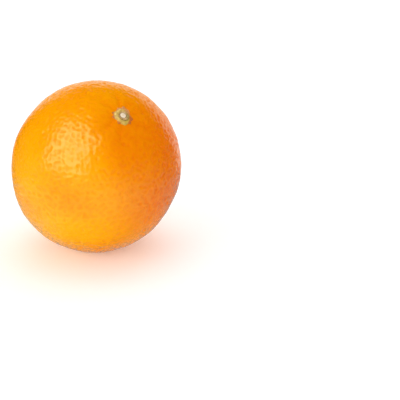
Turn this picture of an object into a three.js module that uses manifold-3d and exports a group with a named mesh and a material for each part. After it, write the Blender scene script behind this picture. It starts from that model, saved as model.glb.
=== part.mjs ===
// A whole sweet orange with its stem button, lying on the small flat spot that its own weight presses.
//
// Units are millimetres and +Z is up. The orange lies on z = 0, its bounding box is centred over the
// origin, and -Y is its front. Each piece is first shaped upright, with the stem at +Z and the middle
// of the fruit at the origin. The whole orange is then leaned over and set down.

import * as THREE from "three";
import { mergeVertices } from "three/addons/utils/BufferGeometryUtils.js";
import Module from "manifold-3d";

// ---- Driving dimensions ----

// The fruit's overall shape is an ellipsoid, a little longer than it is wide, before its ends sink in.
const fruitDiameter = 80; // across the equator
const fruitLength = 86.5; // along the stem axis

// The stem end sinks into a shallow basin, and furrows run out of it between the shoulders.
const basinDepth = 1.8;
const basinRadius = 9;
const furrowCount = 9;
const furrowDepth = 0.3;
const furrowDistance = 9; // from the stem axis to where a furrow is deepest

// The blossom end has a small dimple with a low round scar in it.
const dimpleDepth = 0.9;
const dimpleRadius = 5;
const scarHeight = 0.35;
const scarRadius = 1.5;

// The segments inside show as very low ridges around the equator.
const segmentCount = 10;
const segmentRidge = 0.15;

// How it lies: the stem leans from upright towards a heading, measured from +X towards +Y.
const stemLean = THREE.MathUtils.degToRad(39.6);
const stemHeading = THREE.MathUtils.degToRad(-56.7);
const restingDepth = 0.95; // how far the peel gives way under the fruit's weight

// The calyx: a disc of sepals grown together, with one point for each sepal.
const sepalCount = 5;
const sepalTipRadius = 5.4;
const sepalNotchRadius = 4.3;
const sepalTurn = THREE.MathUtils.degToRad(52); // where the first sepal points, round the stem axis
const sepalEdge = 0.4; // thickness at the tips and notches
const calyxThickness = 0.9; // thickness round the stem

// The stem, clipped just above the calyx, stands in a socket in it.
const stubFootRadius = 2.3;
const stubCutRadius = 2.15;
const stubHeight = 0.4; // above the calyx
const stubRound = 0.15; // radius of the clipped edge
const socketDepth = 0.35;

// The pieces touch on the real fruit. The solids keep this gap between them.
const seatGap = 0.3;

// ---- Mesh fineness ----

const fruitSides = 60;
const fruitRings = 40;
const ringCrowding = 0.7; // 0 spaces the rings evenly, 1 crowds them most towards both ends
const calyxSides = sepalCount * 12;
const calyxRings = 8;
const stubSides = 24;
const roundSteps = 3;

// ---- The fruit's skin, as formulas ----

const bell = (distance, width) => Math.exp(-((distance / width) ** 2));

// How far the stem end is sunk at this distance from the stem axis, and at this angle round it.
function stemSink(distance, angle) {
  const basin = basinDepth * bell(distance, basinRadius);
  const reach = distance / furrowDistance;
  const furrows = reach ** 2 * Math.exp(1 - reach ** 2) * 0.5 * (1 - Math.cos(furrowCount * angle));
  return basin + furrowDepth * furrows;
}

// How far the blossom end is pushed in at this distance from the axis.
function blossomSink(distance) {
  return dimpleDepth * bell(distance, dimpleRadius) - scarHeight * bell(distance, scarRadius);
}

// Height of the skin above the fruit's middle, on the stem's side: the ellipsoid, less what is sunk.
function stemSideHeight(distance, angle) {
  const share = Math.min(1, distance / (fruitDiameter / 2));
  return (fruitLength / 2) * Math.sqrt(1 - share ** 2) - stemSink(distance, angle);
}

// ---- Helpers ----

// Turns an outline in (distance from the axis, height) about Z, and moves each point by reshape,
// which takes and returns { distance, angle, height }.
function revolve(outline, sides, reshape) {
  const geometry = new THREE.LatheGeometry(outline, sides);
  geometry.rotateX(Math.PI / 2);
  const places = geometry.getAttribute("position");
  for (let i = 0; i < places.count; i++) {
    const at = reshape({
      distance: Math.hypot(places.getX(i), places.getY(i)),
      angle: Math.atan2(places.getY(i), places.getX(i)),
      height: places.getZ(i),
    });
    places.setXYZ(i, at.distance * Math.cos(at.angle), at.distance * Math.sin(at.angle), at.height);
  }
  return geometry;
}

const wasm = await Module();
wasm.setup();

function toSolid(geometry) {
  const bare = geometry.clone();
  bare.deleteAttribute("normal");
  bare.deleteAttribute("uv");
  const merged = mergeVertices(bare, 1e-4);
  const vertProperties = merged.getAttribute("position").array;
  const triVerts = new Uint32Array(merged.index.array);
  return new wasm.Manifold(new wasm.Mesh({ numProp: 3, vertProperties, triVerts }));
}

function toGeometry(solid) {
  const { vertProperties, triVerts } = solid.getMesh();
  const geometry = new THREE.BufferGeometry();
  geometry.setAttribute("position", new THREE.BufferAttribute(new Float32Array(vertProperties), 3));
  geometry.setIndex(new THREE.BufferAttribute(new Uint32Array(triVerts), 1));
  return geometry;
}

function namedMesh(name, geometry, color, roughness) {
  geometry.computeVertexNormals();
  const material = new THREE.MeshStandardMaterial({ color, roughness, metalness: 0 });
  const mesh = new THREE.Mesh(geometry, material);
  mesh.name = name;
  return mesh;
}

// ---- The three pieces, upright ----

// Rings lie closer together near both ends, where the basin and the dimple are.
function fruitGeometry() {
  const outline = [];
  for (let i = 0; i <= fruitRings; i++) {
    const share = i / fruitRings;
    const polar = Math.PI * (share - (ringCrowding * Math.sin(2 * Math.PI * share)) / (2 * Math.PI));
    const distance = i % fruitRings ? (fruitDiameter / 2) * Math.sin(polar) : 0;
    outline.push(new THREE.Vector2(distance, (-fruitLength / 2) * Math.cos(polar)));
  }
  return revolve(outline, fruitSides, ({ distance, angle, height }) => {
    const beltShare = (distance / (fruitDiameter / 2)) ** 2;
    const ridge = segmentRidge * beltShare * Math.cos(segmentCount * angle);
    const sunk = height > 0 ? height - stemSink(distance, angle) : height + blossomSink(distance);
    return { distance: distance + ridge, angle, height: sunk };
  });
}

// The stub's ends, as heights above the fruit's middle.
const calyxTop = stemSideHeight(0, 0) + seatGap + calyxThickness;
const stubFoot = calyxTop - socketDepth;
const stubTop = calyxTop + stubHeight;

// Distance from the stem axis to the calyx's edge: rounded notches between drawn-out tips.
function calyxEdge(angle) {
  const wave = 0.5 + 0.5 * Math.cos(sepalCount * (angle - sepalTurn));
  return sepalNotchRadius + (sepalTipRadius - sepalNotchRadius) * wave ** 1.3;
}

// A disc whose underside follows the skin and whose top thins out from the stem to the sepals' tips.
function calyxSolid() {
  const outline = [];
  for (let i = 0; i <= calyxRings; i++) outline.push(new THREE.Vector2(i / calyxRings, -1));
  for (let i = calyxRings; i >= 0; i--) outline.push(new THREE.Vector2(i / calyxRings, 1));
  const disc = revolve(outline, calyxSides, ({ distance: share, angle, height: side }) => {
    const distance = share * calyxEdge(angle);
    const underside = stemSideHeight(distance, angle) + seatGap;
    const thickness = sepalEdge + (calyxThickness - sepalEdge) * (1 - share ** 2);
    return { distance, angle, height: side > 0 ? underside + thickness : underside };
  });
  const socket = revolve(
    [
      new THREE.Vector2(0, stubFoot - seatGap),
      new THREE.Vector2(stubFootRadius + seatGap, stubFoot - seatGap),
      new THREE.Vector2(stubFootRadius + seatGap, stubTop),
      new THREE.Vector2(0, stubTop),
    ],
    stubSides,
    (at) => at,
  );
  return toSolid(disc).subtract(toSolid(socket));
}

function stubGeometry() {
  const outline = [new THREE.Vector2(0, stubFoot), new THREE.Vector2(stubFootRadius, stubFoot)];
  for (let i = 0; i <= roundSteps; i++) {
    const turn = (Math.PI / 2) * (i / roundSteps);
    const out = stubCutRadius - stubRound + stubRound * Math.cos(turn);
    outline.push(new THREE.Vector2(out, stubTop - stubRound + stubRound * Math.sin(turn)));
  }
  outline.push(new THREE.Vector2(0, stubTop));
  return revolve(outline, stubSides, (at) => at);
}

// ---- Leaning the orange over and setting it down ----

const leanAxis = new THREE.Vector3(-Math.sin(stemHeading), Math.cos(stemHeading), 0);
const leaning = new THREE.Matrix4().makeRotationAxis(leanAxis, stemLean);

function boundsOf(geometry) {
  geometry.computeBoundingBox();
  return geometry.boundingBox;
}

const leaningFruit = fruitGeometry().applyMatrix4(leaning);
const fruitBounds = boundsOf(leaningFruit);
const middle = fruitBounds.getCenter(new THREE.Vector3());
const settling = new THREE.Matrix4().makeTranslation(
  -middle.x,
  -middle.y,
  -fruitBounds.min.z - restingDepth,
);

// The peel that reaches below z = 0 is pressed flat: here it is cut off level.
function restingFruit() {
  const fruit = toSolid(leaningFruit.applyMatrix4(settling));
  const slab = new THREE.BoxGeometry(2 * fruitDiameter, 2 * fruitDiameter, fruitDiameter);
  slab.translate(0, 0, -fruitDiameter / 2);
  return toGeometry(fruit.subtract(toSolid(slab)));
}

const place = new THREE.Matrix4().multiplyMatrices(settling, leaning);

const orange = new THREE.Group();
orange.add(
  namedMesh("fruit", restingFruit(), 0xf7a008, 0.45),
  namedMesh("calyx", toGeometry(calyxSolid()).applyMatrix4(place), 0xc9b85a, 0.8),
  namedMesh("stem_stub", stubGeometry().applyMatrix4(place), 0xe4d8c0, 0.85),
);

export default orange;
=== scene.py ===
# %% [markdown]
# # A whole orange, lying on the small spot that its weight presses flat
#
# The CAD model comes first and never moves. It has three plain solids: the fruit, the calyx (the
# star of dried sepals) and the stub of the clipped stem. This lesson gives each of them a fine
# surface and a finish of its own, in the same place and at the same size.

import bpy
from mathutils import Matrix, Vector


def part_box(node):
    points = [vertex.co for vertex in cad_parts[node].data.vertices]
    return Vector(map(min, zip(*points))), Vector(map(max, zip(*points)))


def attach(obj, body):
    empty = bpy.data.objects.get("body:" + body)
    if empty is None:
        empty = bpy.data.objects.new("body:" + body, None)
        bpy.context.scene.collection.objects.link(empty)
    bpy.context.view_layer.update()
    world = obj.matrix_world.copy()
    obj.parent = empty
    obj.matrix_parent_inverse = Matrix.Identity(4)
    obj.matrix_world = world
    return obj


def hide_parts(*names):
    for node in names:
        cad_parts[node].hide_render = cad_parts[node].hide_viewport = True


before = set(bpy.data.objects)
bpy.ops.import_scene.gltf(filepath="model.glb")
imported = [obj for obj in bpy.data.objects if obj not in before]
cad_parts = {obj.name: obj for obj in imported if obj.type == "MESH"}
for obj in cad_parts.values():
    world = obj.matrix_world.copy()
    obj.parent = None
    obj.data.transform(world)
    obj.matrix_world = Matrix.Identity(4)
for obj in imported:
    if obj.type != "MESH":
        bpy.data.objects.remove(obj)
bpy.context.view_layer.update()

# %% Modules
import math

import bpy
import numpy as np
from mathutils import Matrix, Vector

scene = bpy.context.scene
print("Blender", bpy.app.version_string, "with numpy", np.__version__)

# %% [markdown]
# ## Where the orange lies
#
# A fruit is easiest to describe upright, with its stem on top and its middle at zero, in millimetres.
# The real one lies leaning over. Instead of turning objects, which would also turn every pattern on
# them, each finished point is carried to its resting place by one function, and the objects stay
# at the origin. The lean is read off the frame: the stub's points lie evenly round the stem axis,
# so their mean is on it.

# %% The resting place
MM = 0.001
FRUIT_DIAMETER = 80.0
FRUIT_LENGTH = 86.5
PRESSED_DEPTH = 0.95  # how far the peel gives way under the fruit's weight

fruit_low, fruit_high = (np.array(corner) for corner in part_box("fruit"))
middle = (fruit_low + fruit_high) / 2
middle[2] = (fruit_high[2] - PRESSED_DEPTH * MM) / 2

stub_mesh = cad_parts["stem_stub"].data
stub_points = np.empty(3 * len(stub_mesh.vertices))
stub_mesh.vertices.foreach_get("co", stub_points)
stub_points = np.unique(stub_points.reshape(-1, 3).round(7), axis=0)
stem_axis = Vector(stub_points.mean(axis=0) - middle).normalized()
lean = np.array(Vector((0, 0, 1)).rotation_difference(stem_axis).to_matrix())


def settle(points):
    """Upright millimetres to the frame's metres: lean with the stem, move to the fruit's middle."""
    return points @ lean.T * MM + middle


print("middle", middle.round(5), "metres")
print("stem leans", round(math.degrees(math.acos(stem_axis.z)), 2), "degrees")

# %% [markdown]
# ## The camera
#
# The camera looks a little down on the orange with a long lens, as for a product picture. The fruit
# sits left of and above the middle of the frame. That is done by aiming past it, not by a lens
# shift, so that every other view stays centred.

# %% Camera
CAMERA_ELEVATION = math.radians(21)
CAMERA_DEPTH = 565.0  # from the fruit's middle, along the line of sight
AIM_RIGHT = 49.4  # the line of sight passes this far to the right of the fruit's middle
AIM_DOWN = 15.7  # and this far below it
LENS = 106.65
SENSOR = 36.0

view_right = Vector((1, 0, 0))
view_up = Vector((0, math.sin(CAMERA_ELEVATION), math.cos(CAMERA_ELEVATION)))
view_back = view_right.cross(view_up)
lens_data = bpy.data.cameras.new("camera")
lens_data.lens = LENS
lens_data.sensor_width = SENSOR
camera = bpy.data.objects.new("camera", lens_data)
scene.collection.objects.link(camera)
offset = AIM_RIGHT * view_right - AIM_DOWN * view_up + CAMERA_DEPTH * view_back
camera.matrix_world = Matrix.Translation(Vector(middle) + offset * MM) @ Matrix(
    (view_right, view_up, view_back)
).transposed().to_4x4()
scene.camera = camera
print("camera at", [round(value, 3) for value in camera.matrix_world.translation])

# %% [markdown]
# ## Mesh and shader helpers
#
# numpy works out all points of a surface at once, and one helper puts them into a mesh. Masks, such
# as how deep a point lies in a pore, are stored with the points as attributes, so that a finish can
# read them.


# %% From arrays to a piece
def make_piece(name, places, faces, **masks):
    """A smooth mesh object at the origin from places in metres, faces, and one attribute per mask."""
    mesh = bpy.data.meshes.new(name)
    mesh.from_pydata(places.tolist(), [], faces.tolist())
    mesh.shade_smooth()
    for title, values in masks.items():
        layer = mesh.attributes.new(title, "FLOAT", "POINT")
        layer.data.foreach_set("value", values.astype(np.float32))
    mesh.update()
    piece = bpy.data.objects.new(name, mesh)
    scene.collection.objects.link(piece)
    size = (places.max(axis=0) - places.min(axis=0)) / MM
    print(name, len(places), "points,", len(faces), "faces,", size.round(2), "mm")
    return piece


def bell(distance, width):
    """1 at distance 0, falling off smoothly: e to the power of minus (distance over width) squared."""
    return np.exp(-((distance / width) ** 2))


def ease(value, start, end):
    """0 before start, 1 after end, and the smooth cubic 3t^2 - 2t^3 between them."""
    share = np.clip((value - start) / (end - start), 0, 1)
    return share * share * (3 - 2 * share)


def swell(points, wavelength, seed, waves=40):
    """A smooth random field with a spread of 1: the sum of cosine waves of one wavelength that run
    in random directions with random phases, divided by the root of half their number."""
    random = np.random.default_rng(seed)
    ways = random.normal(size=(3, waves))
    ways *= 2 * np.pi / wavelength / np.linalg.norm(ways, axis=0)
    phases = random.uniform(0, 2 * np.pi, waves)
    return np.cos(points @ ways + phases).sum(axis=1) / np.sqrt(waves / 2)


# %% [markdown]
# A shader is a graph of nodes, but its maths reads best as plain expressions. `Wire` stands for one
# output of one node. Adding or multiplying wires adds the Math nodes, and `node` makes any other.


# %% Shader maths as expressions
CELL_SMOOTHNESS = 0.4  # 0 keeps the creases between cells, 1 blurs them away


class Wire:
    """One output socket in a material's node tree, for use in Python expressions."""

    def __init__(self, tree, socket=None):
        self.tree = tree
        self.socket = socket

    def node(self, kind, settings, inputs, output=0):
        """A new node: its settings first, then a value or a Wire for each named or numbered input."""
        made = self.tree.nodes.new("ShaderNode" + kind)
        for title, value in settings.items():
            setattr(made, title, value)
        for title, value in inputs.items():
            if isinstance(value, Wire):
                self.tree.links.new(value.socket, made.inputs[title])
            else:
                made.inputs[title].default_value = value
        return Wire(self.tree, made.outputs[output])

    def maths(self, operation, *values):
        return self.node("Math", {"operation": operation}, dict(enumerate(values)))

    def __add__(self, other):
        return self.maths("ADD", self, other)

    def __sub__(self, other):
        return self.maths("SUBTRACT", self, other)

    def __rsub__(self, other):
        return self.maths("SUBTRACT", other, self)

    def __mul__(self, other):
        return self.maths("MULTIPLY", self, other)

    __radd__ = __add__
    __rmul__ = __mul__

    def fade(self, start, end):
        """0 where this wire is at start, 1 at end, with smooth ends."""
        inputs = {"Value": self, "From Min": start, "From Max": end}
        return self.node("MapRange", {"interpolation_type": "SMOOTHSTEP"}, inputs)

    def mix(self, first, second):
        """The first colour where this wire is 0 and the second where it is 1. A Mix node's colour
        sockets share their names with its number sockets, so they go by their places, 6, 7 and 2."""
        colors = [value if isinstance(value, Wire) else (*value, 1) for value in (first, second)]
        inputs = {"Factor": self, 6: colors[0], 7: colors[1]}
        return self.node("Mix", {"data_type": "RGBA"}, inputs, output=2)

    def mask(self, title):
        """The number that the mesh holds under this name."""
        return self.node("Attribute", {"attribute_name": title}, {}, output="Fac")

    def noise(self, size, detail=2.0):
        """Cloudy noise from 0 to 1, with clouds of about this size in millimetres."""
        place = self.node("TexCoord", {}, {}, output="Object")
        return self.node("TexNoise", {}, {"Vector": place, "Scale": 1 / (size * MM), "Detail": detail})

    def cells(self, size):
        """Distance to the nearest of many scattered points, which lie about size millimetres apart."""
        place = self.node("TexCoord", {}, {}, output="Object")
        settings = {"feature": "SMOOTH_F1"}
        inputs = {"Vector": place, "Scale": 1 / (size * MM), "Smoothness": CELL_SMOOTHNESS}
        return self.node("TexVoronoi", settings, inputs)


# %% From a finish to a material
def dress(piece, slot, relief, relief_depth, constants, **finish):
    """Gives a piece a Principled finish. relief is a height from 0 to 1 that a Bump node raises by
    relief_depth millimetres, constants are set on the shader's sockets, and finish feeds the rest."""
    material = bpy.data.materials.new(piece.name + "_finish")
    material.use_nodes = True
    tree = material.node_tree
    shader = tree.nodes["Principled BSDF"]
    for title, value in constants.items():
        shader.inputs[title].default_value = value
    start = Wire(tree)
    bump = start.node("Bump", {}, {"Height": relief(start), "Distance": relief_depth * MM})
    tree.links.new(bump.socket, shader.inputs["Normal"])
    for title, make in finish.items():
        tree.links.new(make(start).socket, shader.inputs[title.replace("_", " ")])
    piece.data.materials.append(material)
    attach(piece, "root")
    print(piece.name, "wears", material.name, "with", len(tree.nodes), "nodes")


# %% [markdown]
# ## The fruit's body
#
# An orange is close to a ball, but not one: it is a little longer than wide, the stem end sinks into
# a shallow basin with furrows running out of it, and the blossom end has a dimple with a scar. A
# latitude grid would pinch its faces at both ends, just where the detail is. So the grid is a cube's
# six sides blown up to a ball, which has faces of nearly one size everywhere.

# %% A ball made of six grids
GRID_STEPS = 128


def six_grids(steps):
    """Unit directions on a cube's six sides. A side runs over two parameters from -1 to 1, and the
    tangent of an eighth turn times the parameter keeps the steps even once the cube is a ball."""
    line = np.tan(np.pi / 4 * np.linspace(-1, 1, steps + 1))
    a, b = np.meshgrid(line, line, indexing="ij")
    one = np.ones_like(a)
    sides = [(one, a, b), (-one, -a, b), (-a, one, b), (a, -one, b), (-b, a, one), (b, a, -one)]
    points = np.stack([np.stack(side, axis=-1) for side in sides])
    points /= np.linalg.norm(points, axis=-1, keepdims=True)
    shared, place = np.unique(points.reshape(-1, 3).round(7), axis=0, return_inverse=True)
    index = place.reshape(6, steps + 1, steps + 1)
    corners = [index[:, :-1, :-1], index[:, 1:, :-1], index[:, 1:, 1:], index[:, :-1, 1:]]
    return shared, np.stack(corners, axis=-1).reshape(-1, 4)


directions, fruit_faces = six_grids(GRID_STEPS)
grid_spacing = 0.5 * np.pi * FRUIT_DIAMETER / 2 / GRID_STEPS
print(len(directions), "directions, about", round(grid_spacing, 2), "mm apart")

# %% [markdown]
# The basin, the furrows and the dimple are all sums of bell curves of the distance from the stem
# axis. Real furrows are uneven, so each has its own heading, depth and width.

# %% Stem end and blossom end
RADIUS = FRUIT_DIAMETER / 2
HALF_LENGTH = FRUIT_LENGTH / 2
BASIN_DEPTH = 1.8
BASIN_RADIUS = 9.0
FURROW_COUNT = 9
FURROW_DEPTH = 0.42
FURROW_DISTANCE = 9.0
DIMPLE_DEPTH = 0.9
DIMPLE_RADIUS = 5.0
SCAR_HEIGHT = 0.35
SCAR_RADIUS = 1.5
FURROW_SEED = 11
FURROW_DRIFT = 0.25  # as a share of the turn from one furrow to the next
FURROW_DEPTH_SHARES = (0.35, 1.0)
FURROW_WIDTHS = (0.14, 0.24)  # radians round the stem

furrow_random = np.random.default_rng(FURROW_SEED)
furrow_drift = furrow_random.uniform(-FURROW_DRIFT, FURROW_DRIFT, FURROW_COUNT)
furrow_heading = (np.arange(FURROW_COUNT) + furrow_drift) * 2 * np.pi / FURROW_COUNT
furrow_depth = FURROW_DEPTH * furrow_random.uniform(*FURROW_DEPTH_SHARES, FURROW_COUNT)
furrow_width = furrow_random.uniform(*FURROW_WIDTHS, FURROW_COUNT)


def furrows(x, y):
    """Depth of the furrows: the sum of a bell of the turn from each furrow's heading, times
    r^2 e^(1 - r^2), which is 0 at the axis and 1 at r = 1."""
    turn = np.angle(np.exp(1j * (np.arctan2(y, x)[..., None] - furrow_heading)))
    square = (x**2 + y**2) / FURROW_DISTANCE**2
    return (furrow_depth * bell(turn, furrow_width)).sum(axis=-1) * square * np.exp(1 - square)


def stem_sink(x, y):
    """How far the stem end is sunk: a bell-shaped basin, and the furrows."""
    return BASIN_DEPTH * bell(np.hypot(x, y), BASIN_RADIUS) + furrows(x, y)


def stem_side_height(x, y):
    """Height of the peel over the fruit's middle on the stem's side: the ellipsoid, less the sink."""
    return HALF_LENGTH * np.sqrt(np.clip(1 - (x**2 + y**2) / RADIUS**2, 0, 1)) - stem_sink(x, y)


def blossom_sink(distance):
    """How far the blossom end is pushed in: a bell-shaped dimple with a small low bell, the scar."""
    return DIMPLE_DEPTH * bell(distance, DIMPLE_RADIUS) - SCAR_HEIGHT * bell(distance, SCAR_RADIUS)


print("furrows", furrow_depth.round(2), "mm deep")

# %% [markdown]
# ## Oil glands
#
# The peel is full of oil glands, and each one leaves a small pit. They keep a distance from each
# other but follow no pattern. A sunflower spiral spreads points evenly over a ball, and a random
# push to each point hides the spiral. A texture could paint the pits, but pits in the mesh catch the
# light from every side.

# %% Pits
GLAND_SPACING = 2.35
GLAND_PUSH = 0.22  # as a share of the spacing
GLAND_SEED = 5
PIT_DEPTHS = (0.14, 0.36)
PIT_WIDTHS = (0.55, 0.75)
CELL_SHARE = 0.87  # a gland's cell is a hexagon, whose area is this times the spacing squared
BLOCKS = 32  # the points are worked through in this many parts, to save memory


def sunflower(count):
    """Points on the unit ball: equal steps of height, each turned by the golden angle from the last."""
    step = np.arange(count) + 0.5
    height = 1 - 2 * step / count
    turn = np.pi * (3 - np.sqrt(5)) * step
    width = np.sqrt(1 - height**2)
    return np.stack([width * np.cos(turn), width * np.sin(turn), height], axis=1)


gland_random = np.random.default_rng(GLAND_SEED)
gland_count = int(4 * np.pi * RADIUS * HALF_LENGTH / (CELL_SHARE * GLAND_SPACING**2))
gland_way = sunflower(gland_count)
gland_way += gland_random.normal(size=(gland_count, 3)) * GLAND_PUSH * GLAND_SPACING / RADIUS
gland_way /= np.linalg.norm(gland_way, axis=1, keepdims=True)
gland_places = gland_way * (RADIUS, RADIUS, HALF_LENGTH)
gland_depth = gland_random.uniform(*PIT_DEPTHS, gland_count)
gland_width = gland_random.uniform(*PIT_WIDTHS, gland_count)


def pit_depth(points):
    """Depth of the pits at each point: the sum over all glands of depth times a bell of distance."""
    places, depth = gland_places.astype(np.float32), gland_depth.astype(np.float32)
    spread = (gland_width**-2).astype(np.float32)
    found = []
    for block in np.array_split(points.astype(np.float32), BLOCKS):
        square = (block**2).sum(axis=1)[:, None] + (places**2).sum(axis=1) - 2 * block @ places.T
        found.append((depth * np.exp(-square * spread)).sum(axis=1))
    return np.concatenate(found).astype(float)


print(gland_count, "glands")

# %% [markdown]
# The body, the slow swells of a grown thing and the pits come together here. Last of all the orange
# is set down, and what would reach below the surface is pressed flat.

# %% The peel's surface
SEGMENT_COUNT = 10
SEGMENT_RIDGE = 0.15
SWELLS = ((0.08, 34, 1), (0.035, 11, 2), (0.02, 4.5, 3), (0.010, 2.4, 4))  # height, wavelength, seed
SMOOTH_WITHIN = 3.5  # no pits or swells this near the stem axis, under the calyx
ROUGH_BEYOND = 7.0
PRESS_ROUNDING = 0.2


def fruit_surface(ways):
    """Upright millimetres for each unit direction: the ellipsoid with its segment ridges, less the
    sinks at both ends, moved along the ellipsoid's normal by the swells and the pits."""
    x, y, z = (ways * (RADIUS, RADIUS, HALF_LENGTH)).T
    distance, angle = np.hypot(x, y), np.arctan2(y, x)
    ridge = 1 + SEGMENT_RIDGE / RADIUS * (distance / RADIUS) ** 2 * np.cos(SEGMENT_COUNT * angle)
    level = np.where(z > 0, z - stem_sink(x, y), z + blossom_sink(distance))
    body = np.stack([x * ridge, y * ridge, level], axis=1)
    normal = ways / (RADIUS, RADIUS, HALF_LENGTH)
    normal /= np.linalg.norm(normal, axis=1, keepdims=True)
    pits = pit_depth(np.stack([x, y, z], axis=1))
    away = ease(distance, SMOOTH_WITHIN, ROUGH_BEYOND)
    lift = sum(height * swell(body, wavelength, seed) for height, wavelength, seed in SWELLS)
    return body + normal * (away * (lift - pits))[:, None], pits


def pressed(places):
    """The smooth maximum of height and 0: half of height plus the root of height^2 + rounding^2."""
    height = places[:, 2]
    rounded = (height + np.sqrt(height**2 + (PRESS_ROUNDING * MM) ** 2)) / 2
    return np.column_stack([places[:, :2], rounded])


fruit_points, fruit_pits = fruit_surface(directions)
print("pits up to", fruit_pits.max().round(2), "mm deep")

# %% [markdown]
# Each mask is worked out once, here, from the same arrays as the shape: how far a point is from both
# ends, how deep it lies in a pit or a furrow, and which side of the fruit it is on. The two side masks
# carry painted light as well as tone: painted shade and orange bounce light on the reddest side, and
# painted light bounced up from the floor on the yellowest side.

# %% Build the fruit
SUN_AND_SHADE_SIDE = np.array((0.95, -0.28, 0.10))  # the reddest side: partly a sun-ripened tone, partly painted shade and orange bounce light
PALE_AND_BOUNCE_SIDE = np.array((-0.60, -0.55, -0.58))  # the yellowest side: partly a paler tone, partly painted light bounced up from the floor
SUN_AND_SHADE_SHARE = 0.8
BLOTCH_SHARE = 0.1
BLOTCH_SIZE = 30
BLOTCH_SEED = 21
FULL_PIT = 0.18  # a pit of this depth has the full tint of one
OTHER_END = 60  # stands for the distance to an end on the half of the fruit that lacks it

on_stem_side = directions[:, 2] > 0
axis_distance = np.hypot(fruit_points[:, 0], fruit_points[:, 1])
blotches = BLOTCH_SHARE * swell(fruit_points, BLOTCH_SIZE, BLOTCH_SEED)
fruit_places = pressed(settle(fruit_points))
outward_way = (fruit_places - middle) / (RADIUS * MM)
fruit = make_piece(
    "orange_fruit",
    fruit_places,
    fruit_faces,
    pit=np.clip(fruit_pits / FULL_PIT, 0, 1),
    # painted shade and orange bounce light on one side, mixed with a sun-ripened tone and random
    # blotches
    tone=ease(outward_way @ SUN_AND_SHADE_SIDE, 0.4, 1.0) * SUN_AND_SHADE_SHARE + blotches,
    # painted light bounced up from the floor on the opposite side, with a paler tone
    pale=ease(outward_way @ PALE_AND_BOUNCE_SIDE, 0.1, 1.0),
    furrow=np.where(on_stem_side, furrows(*fruit_points.T[:2]) / FURROW_DEPTH, 0),
    stem_distance=np.where(on_stem_side, axis_distance, OTHER_END),
    blossom_distance=np.where(directions[:, 2] < 0, axis_distance, OTHER_END),
)
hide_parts("fruit")

# %% [markdown]
# ## The peel's finish
#
# Orange peel is waxy: a soft gloss over a deep, even colour, which is a shade redder in the pits,
# where the oil shows through. The deep orange in the furrows is painted shade, and in the basin round
# the stem it is partly a deeper tone and partly painted shade. The wax is a coat over a nearly matt
# skin, and it is thin or missing in the pits. The colour is mixed from three oranges by the masks: the
# yellowest on one side, partly a paler tone and partly painted light bounced up from the floor, and the
# reddest on the other, partly a sun-ripened tone and partly painted shade and orange bounce light, as
# from fruit lying beside it. A fine bump adds the smallest pores, which the mesh is too coarse for.

# %% Peel
PALE_ORANGE = (0.95, 0.42, 0.002)
BRIGHT_ORANGE = (0.95, 0.34, 0.0005)
DEEP_ORANGE = (0.81, 0.155, 0.0005)
SCAR_BROWN = (0.33, 0.16, 0.04)
PIT_TINT = 0.22  # how far each of these turns the colour towards the deep orange
CLOUD_TINT = 0.3
# painted shade of the basin round the stem, partly its deeper tone
BASIN_SHADE_TINT = 0.25
# painted shade in the furrows
FURROW_SHADE_TINT = 0.35
DEEP_TONE_START = 0.15  # the tone at which the deep orange begins
SKIN_ROUGHNESS = 0.16
PIT_ROUGHNESS = 0.16  # added in a pit
PATCH_ROUGHNESS = 0.05  # added in a dull patch
FULL_WAX = 0.8
WAX_LOST_IN_PIT = 0.78
CLOUD_SIZE = 4.0
PATCH_SIZE = 6.0
PORE_SPACING = 1.15
PORE_SHARE = 0.7
GRAIN_SIZE = 0.5
PEEL_RELIEF = 0.038  # millimetres
PEEL_GLOSS = {"Specular IOR Level": 0.12, "Coat Roughness": 0.18}


def peel_color(start):
    # the pale mask holds painted light bounced up from the floor, as well as a paler tone
    skin = start.mask("pale").mix(BRIGHT_ORANGE, PALE_ORANGE)
    # the tone mask holds painted shade and orange bounce light on one side, as well as real tone
    tone = start.mask("tone") + start.mask("pit") * PIT_TINT + start.noise(CLOUD_SIZE) * CLOUD_TINT
    skin = (tone - DEEP_TONE_START).mix(skin, DEEP_ORANGE)
    # painted shade: deeper orange in the basin round the stem, partly its real tone
    basin = 1 - start.mask("stem_distance").fade(4.0, 12.0)
    # painted shade: deeper orange in the furrows, by their depth
    skin = (basin * BASIN_SHADE_TINT + start.mask("furrow") * FURROW_SHADE_TINT).mix(skin, DEEP_ORANGE)
    scar = 1 - (start.mask("blossom_distance") + start.noise(1.0)).fade(1.2, 2.6)
    return scar.mix(skin, SCAR_BROWN)


def peel_roughness(start):
    dull_patches = start.noise(PATCH_SIZE) * PATCH_ROUGHNESS
    return start.mask("pit") * PIT_ROUGHNESS + dull_patches + SKIN_ROUGHNESS


def peel_wax(start):
    return FULL_WAX - start.mask("pit") * WAX_LOST_IN_PIT


def peel_relief(start):
    pores = start.cells(PORE_SPACING).fade(0.0, 0.7)
    return pores * PORE_SHARE + start.noise(GRAIN_SIZE) * (1 - PORE_SHARE)


dress(
    fruit,
    "peel",
    peel_relief,
    PEEL_RELIEF,
    PEEL_GLOSS,
    Base_Color=peel_color,
    Roughness=peel_roughness,
    Coat_Weight=peel_wax,
)

# %% [markdown]
# ## The calyx
#
# The calyx is what is left of the flower: sepals grown together into a star, with a thick fleshy ring
# round the stem. It could be cut from a sheet, but its thickness changes all over. So it is a closed
# profile carried round the stem: out along the underside, and back along the top. Most of the five
# sepals have split into two lobes, and some lobes have dried brown while others are still green.

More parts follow.
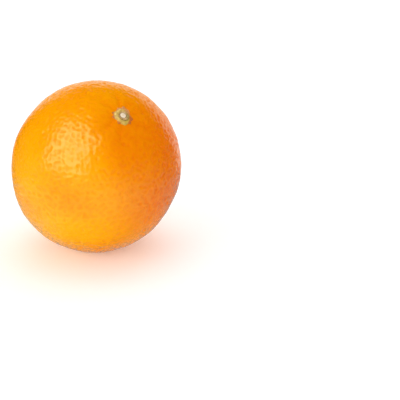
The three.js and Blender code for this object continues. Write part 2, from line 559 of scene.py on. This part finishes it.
# %% Lobes of the sepals
LOBE_HEADING = np.radians((66, 92, 122, 178, 206, 256, 292, 328, 0))
LOBE_REACH = np.array((5.3, 6.1, 5.1, 5.4, 5.4, 5.4, 5.2, 5.3, 5.3))  # from the stem axis to each tip
LOBE_SPREAD = np.array((0.36, 0.36, 0.36, 0.27, 0.27, 0.24, 0.46, 0.34, 0.34))
LOBE_FRESH = np.array((2.7, 3.1, 3.5, 4.0, 4.0, 3.9, 5.6, 3.6, 2.9))  # it is dry and brown beyond this
NOTCH_REACH = 3.75
STEM_OFFSET = np.array((0.62, -0.02))  # the stem is not quite in the middle of its calyx
BORE_RADIUS = 2.05
TIP_SHARPNESS = 1.6  # 2 would give round lobes, and 1 pointed ones
FRESH_BLEND = 0.3  # radians over which one lobe's freshness passes into the next one's


def off_lobes(angle):
    """The turn from each lobe's heading, one column for each lobe."""
    return np.angle(np.exp(1j * (angle[..., None] - LOBE_HEADING)))


def calyx_edge(angle):
    """Distance from the axis to the edge: the notches' reach, plus a pointed bump for each lobe, which
    falls off as e to the power of minus (turn over spread) to the power of the tip's sharpness, plus
    fine teeth. The bumps are joined by a smooth maximum, the cube root of the sum of their cubes."""
    turn = np.abs(off_lobes(angle) / LOBE_SPREAD)
    bumps = (LOBE_REACH - NOTCH_REACH) * np.exp(-(turn**TIP_SHARPNESS))
    teeth = 0.06 * np.sin(17 * angle + 2 * np.sin(3 * angle)) + 0.04 * np.sin(29 * angle)
    return NOTCH_REACH + np.cbrt((bumps**3).sum(axis=-1)) + teeth


def fresh_reach(angle):
    """How far out the tissue is still fresh: the mean over the lobes, weighted by bells of the turn."""
    weight = bell(off_lobes(angle), FRESH_BLEND) + 1e-9
    return (weight * LOBE_FRESH).sum(axis=-1) / weight.sum(axis=-1)


all_round = calyx_edge(np.linspace(0, 2 * np.pi, 361))
print("calyx's edge lies", all_round.min().round(2), "to", all_round.max().round(2), "mm from the axis")

# %% [markdown]
# The top of the calyx is built up in layers on the peel below it. Its thickness goes to nothing at the
# edge, so that the two sides meet there.

# %% Top and underside of the calyx
ROOT_DEPTH = 0.25  # how deep the underside lies in the peel
SHEET_THICKNESS = 0.28
FLESH_HEIGHT = 0.62
FLESH_PLACE = 0.42  # where the fleshy ring is highest, as a share of the way to the edge
FLESH_WIDTH = 0.27
CREASE_COUNT = 33
CREASE_HEIGHT = 0.05
LUMP_HEIGHT = 0.045
LUMP_SIZE = 1.3
LUMP_SEED = 8


def calyx_surface(share, angle, top):
    """Upright millimetres. share runs from the bore to the edge in straight lines. The underside
    follows the peel, a little below it. The top is a thin sheet with a fleshy ring, which is highest
    on the side away from the stem, plus creases that run outwards and a low wandering swell."""
    bore, edge = BORE_RADIUS * (1 - share), calyx_edge(angle) * share
    x = (bore + edge) * np.cos(angle) + STEM_OFFSET[0] * (1 - share)
    y = (bore + edge) * np.sin(angle) + STEM_OFFSET[1] * (1 - share)
    side = 0.85 - 0.22 * np.cos(angle - 0.35) + 0.1 * np.sin(3 * angle + 1)
    ring = FLESH_HEIGHT * side * bell(share - FLESH_PLACE, FLESH_WIDTH)
    wander = 3 * np.sin(4 * share + 2 * angle)
    creases = CREASE_HEIGHT * np.sin(CREASE_COUNT * angle + wander) * ease(share, 0.2, 0.6)
    flat = np.stack([x, y, 0 * x], axis=-1).reshape(-1, 3)
    lumps = LUMP_HEIGHT * swell(flat, LUMP_SIZE, LUMP_SEED).reshape(x.shape)
    sheet = SHEET_THICKNESS * (1 - share**6)
    height = stem_side_height(x, y) - ROOT_DEPTH
    height += np.where(top, (ROOT_DEPTH + sheet + ring + creases + lumps) * (1 - share**12), 0)
    return np.stack([x, y, height], axis=-1)


def ring_faces(around, along):
    """Quads of a grid that closes on itself both ways, as a torus does."""
    index = np.arange(around * along).reshape(around, along)
    after = np.roll(index, -1, axis=0)
    corners = [index, after, np.roll(after, -1, axis=1), np.roll(index, -1, axis=1)]
    return np.stack(corners, axis=-1).reshape(-1, 4)


# %% [markdown]
# The profile's points make one side of a grid and the turns round the stem the other. Besides the
# shape, the mesh keeps where the tissue is dry, where it has dried to a rosy brown, and on which side
# shade is painted.

# %% Build the calyx
CALYX_STEPS = 44
CALYX_SIDES = 320
CROWDING = 0.8  # below 1, the steps crowd towards the edge

outward = np.linspace(0, 1, CALYX_STEPS) ** CROWDING
profile_share = np.concatenate([outward, outward[-2::-1]])
profile_top = np.arange(len(profile_share)) >= CALYX_STEPS
turns = np.linspace(0, 2 * np.pi, CALYX_SIDES, endpoint=False)
calyx_angle, calyx_share = np.meshgrid(turns, profile_share, indexing="ij")
calyx_points = calyx_surface(calyx_share, calyx_angle, np.broadcast_to(profile_top, calyx_share.shape))
calyx_reach = np.hypot(calyx_points[..., 0], calyx_points[..., 1])
calyx = make_piece(
    "orange_calyx",
    settle(calyx_points.reshape(-1, 3)),
    ring_faces(CALYX_SIDES, len(profile_share)),
    share=calyx_share.ravel(),
    dry=ease(calyx_reach - fresh_reach(calyx_angle), -0.5, 0.7).ravel(),
    rosy=(0.5 + 0.5 * np.cos(calyx_angle - 1.5)).ravel(),
    # painted shade on the side away from the light, which the finish shows as olive
    shade=(0.5 + 0.5 * np.cos(calyx_angle + 0.4)).ravel(),
)
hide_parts("calyx")

# %% [markdown]
# ## The calyx's finish
#
# Fresh tissue is straw-coloured and olive, the groove at the stem is dark, and the lobes have dried to
# red and rose brown from the tips. Part of the olive is painted shade, on the side away from the light.
# The border between fresh and dry is ragged on a real one, so noise is added to the mask before it is
# faded. Dry tissue is dull, with a fine grain.

# %% Calyx finish
PALE_STRAW = (0.70, 0.49, 0.15)
OLIVE = (0.52, 0.36, 0.05)
GROOVE_BROWN = (0.24, 0.13, 0.03)
RED_BROWN = (0.54, 0.14, 0.02)
ROSE_BROWN = (0.70, 0.30, 0.10)
OLIVE_BLOTCHES = 0.4
OLIVE_SHADE_SIDE = 0.6  # the rest of the olive is painted shade, on the side away from the light
RAGGEDNESS = 0.5
CALYX_RELIEF = 0.08
DULL_GLOSS = {"Specular IOR Level": 0.4}  # dry plant tissue and clipped wood share it


def calyx_color(start):
    # the shade mask paints shade as olive on one side
    green = start.noise(0.9).fade(0.4, 0.62) * OLIVE_BLOTCHES + start.mask("shade") * OLIVE_SHADE_SIDE
    flesh = green.mix(PALE_STRAW, OLIVE)
    flesh = (1 - start.mask("share").fade(0.02, 0.22)).mix(flesh, GROOVE_BROWN)
    brown = start.mask("rosy").fade(0.55, 0.95).mix(RED_BROWN, ROSE_BROWN)
    brown = (start.noise(0.5).fade(0.5, 0.75) * 0.7).mix(brown, GROOVE_BROWN)
    dry = start.mask("dry") + start.noise(0.7) * RAGGEDNESS - RAGGEDNESS / 2
    return dry.fade(0.1, 0.9).mix(flesh, brown)


def calyx_roughness(start):
    return start.noise(0.7) * 0.2 + 0.5


def calyx_relief(start):
    return start.noise(0.25, detail=5.0)


dress(
    calyx,
    "calyx_tissue",
    calyx_relief,
    CALYX_RELIEF,
    DULL_GLOSS,
    Base_Color=calyx_color,
    Roughness=calyx_roughness,
)

# %% [markdown]
# ## The stub of the stem
#
# The stem was clipped almost flush with the calyx. The cut shows a pale woody core, a darker line
# where wood and bark meet, and the bark, which has crumbled on one side. The stub starts as a drum
# with rounded edges, made from the same ball of six grids, because that closes both its ends without
# a pole. The cut's details are then added to its upper face.

# %% The cut stub's surface
STUB_STEPS = 64
STUB_RADIUS = 2.15
STUB_HALF_HEIGHT = 0.7
STUB_SQUARENESS = 12  # 2 would give an ellipsoid, and a large power gives sharp edges
CORE_RADIUS = 1.36
CORE_OFFSET = np.array((-0.60, -0.33))
CUT_HEIGHT = 1.25  # over the peel
LINE_DEPTH = 0.22  # of the groove where wood and bark meet
CRUMBLED_DEPTH = 0.32
GRAIN_DEPTH = 0.03
CORE_BULGE = 0.12
GRAIN_WIDTH = 0.45
GRAIN_SEED = 12


def stub_surface(ways):
    """Upright millimetres: each unit direction, stretched until its distance from the axis over the
    radius and its height over half the height, both to one high power, add up to 1. The cut's upper
    face then gets a low bulge in the core, a grain, the groove of the line and the crumbled side."""
    flat = np.hypot(ways[:, 0], ways[:, 1]) / STUB_RADIUS
    tall = np.abs(ways[:, 2]) / STUB_HALF_HEIGHT
    stretch = (flat**STUB_SQUARENESS + tall**STUB_SQUARENESS) ** (-1 / STUB_SQUARENESS)
    x, y, z = (ways * stretch[:, None]).T
    angle = np.arctan2(y, x)
    wobble = 1 + 0.035 * np.cos(2 * angle + 0.6) + 0.02 * np.cos(5 * angle)
    wobble += 0.012 * np.cos(13 * angle)
    x, y = x * wobble, y * wobble
    cut = ease(z, 0.6 * STUB_HALF_HEIGHT, 0.95 * STUB_HALF_HEIGHT)
    reach = np.hypot(x - CORE_OFFSET[0], y - CORE_OFFSET[1])
    line = LINE_DEPTH * bell(reach - CORE_RADIUS - 0.12, 0.15)
    crumbled = CRUMBLED_DEPTH * ease(x * 0.9 + y * 0.43, 0.9, 1.6)
    grain = GRAIN_DEPTH * swell(np.column_stack([x, y, 0 * z]), GRAIN_WIDTH, GRAIN_SEED)
    level = z + cut * (CORE_BULGE * bell(reach, 1.0) + grain - line - crumbled)
    bottom = stem_side_height(np.zeros(1), np.zeros(1)) + CUT_HEIGHT - STUB_HALF_HEIGHT
    return np.column_stack([x + STEM_OFFSET[0], y + STEM_OFFSET[1], level + bottom]), reach, cut


# %% Build the stub
stub_ways, stub_faces = six_grids(STUB_STEPS)
stub_places, core_distance, on_cut = stub_surface(stub_ways)
stub = make_piece(
    "orange_stem",
    settle(stub_places),
    stub_faces,
    reach=core_distance,
    cut=on_cut,
    # painted shade on the side away from the light
    shade=ease(stub_places[:, 0] * 0.95 + stub_places[:, 1] * 0.3, 0.6, 1.9),
)
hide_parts("stem_stub")

# %% [markdown]
# ## The stub's finish
#
# The cut shows rings of different tissue, so the colour follows the distance from the core's middle,
# which the mesh carries. The bark around it is beige, and dark green on one side: partly green bark,
# partly painted shade on the side away from the light.

# %% Stub finish
CORE_CREAM = (0.82, 0.69, 0.52)
LINE_OLIVE = (0.30, 0.18, 0.05)
BARK_BEIGE = (0.72, 0.48, 0.25)
BARK_GREEN = (0.30, 0.24, 0.06)
GREEN_BLOTCHES = 0.4
# painted shade, as dark green bark, on the side away from the light
GREEN_SHADE_SIDE = 0.6
PITH_TINT = 0.4
STUB_RELIEF = 0.05


def stub_color(start):
    # the shade mask paints shade as dark green on one side
    green = start.noise(0.8).fade(0.42, 0.6) * GREEN_BLOTCHES + start.mask("shade") * GREEN_SHADE_SIDE
    bark = green.mix(BARK_BEIGE, BARK_GREEN)
    core = start.mask("reach").fade(CORE_RADIUS - 0.1, CORE_RADIUS).mix(CORE_CREAM, LINE_OLIVE)
    cut = start.mask("reach").fade(CORE_RADIUS + 0.18, CORE_RADIUS + 0.35).mix(core, bark)
    pith = 1 - start.mask("reach").fade(0.12, 0.35)
    cut = (pith * PITH_TINT).mix(cut, BARK_BEIGE)
    return start.mask("cut").mix(bark, cut)


def stub_roughness(start):
    return start.noise(0.5) * 0.2 + 0.6


def stub_relief(start):
    return start.noise(0.15, detail=4.0)


dress(
    stub,
    "stem_wood",
    stub_relief,
    STUB_RELIEF,
    DULL_GLOSS,
    Base_Color=stub_color,
    Roughness=stub_roughness,
)

# %% [markdown]
# ## Floor and light
#
# A wide pale floor and a white world make the plain set. The floor glows a little, so that it stays
# pale far beyond the lamps, and it doesn't show in the gloss, where the world stands in for it.

# %% Floor
FLOOR_HALF = 6.0  # metres
FLOOR_PAINT = {
    "Base Color": (0.97, 0.97, 0.97, 1),
    "Roughness": 0.9,
    "Specular IOR Level": 0.1,
    "Emission Color": (1, 1, 1, 1),
    "Emission Strength": 0.18,
}

floor_mesh = bpy.data.meshes.new("floor")
floor_corners = [(-1, -1), (1, -1), (1, 1), (-1, 1)]
floor_places = [(x * FLOOR_HALF, y * FLOOR_HALF, 0) for x, y in floor_corners]
floor_mesh.from_pydata(floor_places, [], [(0, 1, 2, 3)])
floor = bpy.data.objects.new("floor", floor_mesh)
scene.collection.objects.link(floor)
paint = bpy.data.materials.new("floor_paint")
paint.use_nodes = True
for title, value in FLOOR_PAINT.items():
    paint.node_tree.nodes["Principled BSDF"].inputs[title].default_value = value
floor_mesh.materials.append(paint)
floor.visible_glossy = False
print("floor", 2 * FLOOR_HALF, "m wide")

# %% [markdown]
# Two kinds of light are kept apart. The sky and three soft boxes light the matt colour under the wax
# and don't show in the gloss. A window and a backdrop show only in the gloss: the one as the bright
# patch on the front, the other as the pale line along the top. A single set of lamps would be simpler,
# but then the matt colour and the gloss couldn't be tuned one by one.


# %% A soft box
def softbox(name, direction, distance, size, power, color=(1, 1, 1), lights=True, mirrors=False):
    """An area light of that size in metres, which faces the fruit from that direction. It lights
    matt surfaces, shows in glossy ones, or both. Multiple importance sampling is on only for what
    shows in the gloss: on a matt light it would let some of the gloss back in."""
    light = bpy.data.lights.new(name, "AREA")
    light.shape = "RECTANGLE"
    light.size, light.size_y = size
    light.energy = power
    light.color = color
    light.cycles.use_multiple_importance_sampling = mirrors
    lamp = bpy.data.objects.new(name, light)
    scene.collection.objects.link(lamp)
    way = Vector(direction).normalized()
    lamp.location = Vector(middle) + way * distance
    lamp.rotation_euler = way.to_track_quat("Z", "Y").to_euler()
    lamp.visible_camera = False
    lamp.visible_diffuse = lights
    lamp.visible_glossy = mirrors
    print(name, "stands at", [round(value, 2) for value in lamp.location])


# %% Lamps for the matt colour, and for the gloss
SKY_WIDTH = 170  # degrees
SKY_POWER = 2.1
BOX_DISTANCE = 1.2  # metres
BOX_SIZE = (1.2, 1.2)
WINDOW_DISTANCE = 0.8
WINDOW_SIZE = (0.86, 0.90)
WINDOW_TINT = (1.0, 0.95, 0.65)
BACKDROP_SIZE = (1.7, 1.12)

sky_data = bpy.data.lights.new("sky_light", "SUN")
sky_data.angle = math.radians(SKY_WIDTH)
sky_data.energy = SKY_POWER
sky_lamp = bpy.data.objects.new("sky_light", sky_data)
scene.collection.objects.link(sky_lamp)
sky_lamp.visible_glossy = False
sky_data.cycles.use_multiple_importance_sampling = False
print("sky light", SKY_WIDTH, "degrees wide")
softbox("left_light", (-0.84, -0.50, 0.05), BOX_DISTANCE, BOX_SIZE, power=9.0)
softbox("front_light", (0.15, -1.0, 0.15), BOX_DISTANCE, BOX_SIZE, power=4.5)
softbox("top_light", (0.1, 0.3, 1.0), BOX_DISTANCE, BOX_SIZE, power=4.3)
gloss_only = {"lights": False, "mirrors": True}
window_look = {"power": 10.0, "color": WINDOW_TINT, **gloss_only}
softbox("window", (-0.55, -0.61, 0.565), WINDOW_DISTANCE, WINDOW_SIZE, **window_look)
softbox("backdrop", (0.15, 0.97, 0.05), BOX_DISTANCE, BACKDROP_SIZE, power=3.8, **gloss_only)

# %% [markdown]
# The world has two jobs, and a Light Path node tells them apart. The camera sees plain white. The
# gloss sees a pale band, for the table, in a warm glow, for more fruit around. The matt colour gets
# nothing from it, because the sky lamp does that.

# %% The world behind, and its glow in the gloss
TABLE_SHEEN = 0.40
GLOW = 0.5
GLOW_COLOR = (1.0, 0.35, 0.01)
TABLE_FAR = (-0.26, -0.42)  # heights between which the table's band fades in, downwards
TABLE_NEAR = (-0.7, -0.95)  # and between which it fades out again, under the fruit

world = bpy.data.worlds.new("studio")
world.use_nodes = True
world.cycles.sampling_method = "NONE"  # else a lamp test would miss the light path's answer
scene.world = world
sky = Wire(world.node_tree)
rays = world.node_tree.nodes.new("ShaderNodeLightPath")
seen = Wire(world.node_tree, rays.outputs["Is Camera Ray"])
glossy = Wire(world.node_tree, rays.outputs["Is Glossy Ray"])
direction = sky.node("TexCoord", {}, {}, output="Generated")
height = sky.node("SeparateXYZ", {}, {"Vector": direction}, output="Z")
table = height.fade(*TABLE_FAR) * (1 - height.fade(*TABLE_NEAR))
strength = seen + glossy * (table * (TABLE_SHEEN - GLOW) + GLOW)
color = (glossy * (1 - table)).mix((1, 1, 1), GLOW_COLOR)
background = world.node_tree.nodes["Background"]
world.node_tree.links.new(color.socket, background.inputs["Color"])
world.node_tree.links.new(strength.socket, background.inputs["Strength"])
scene.view_settings.view_transform = "Standard"
print("world", world.name, "with", len(world.node_tree.nodes), "nodes")
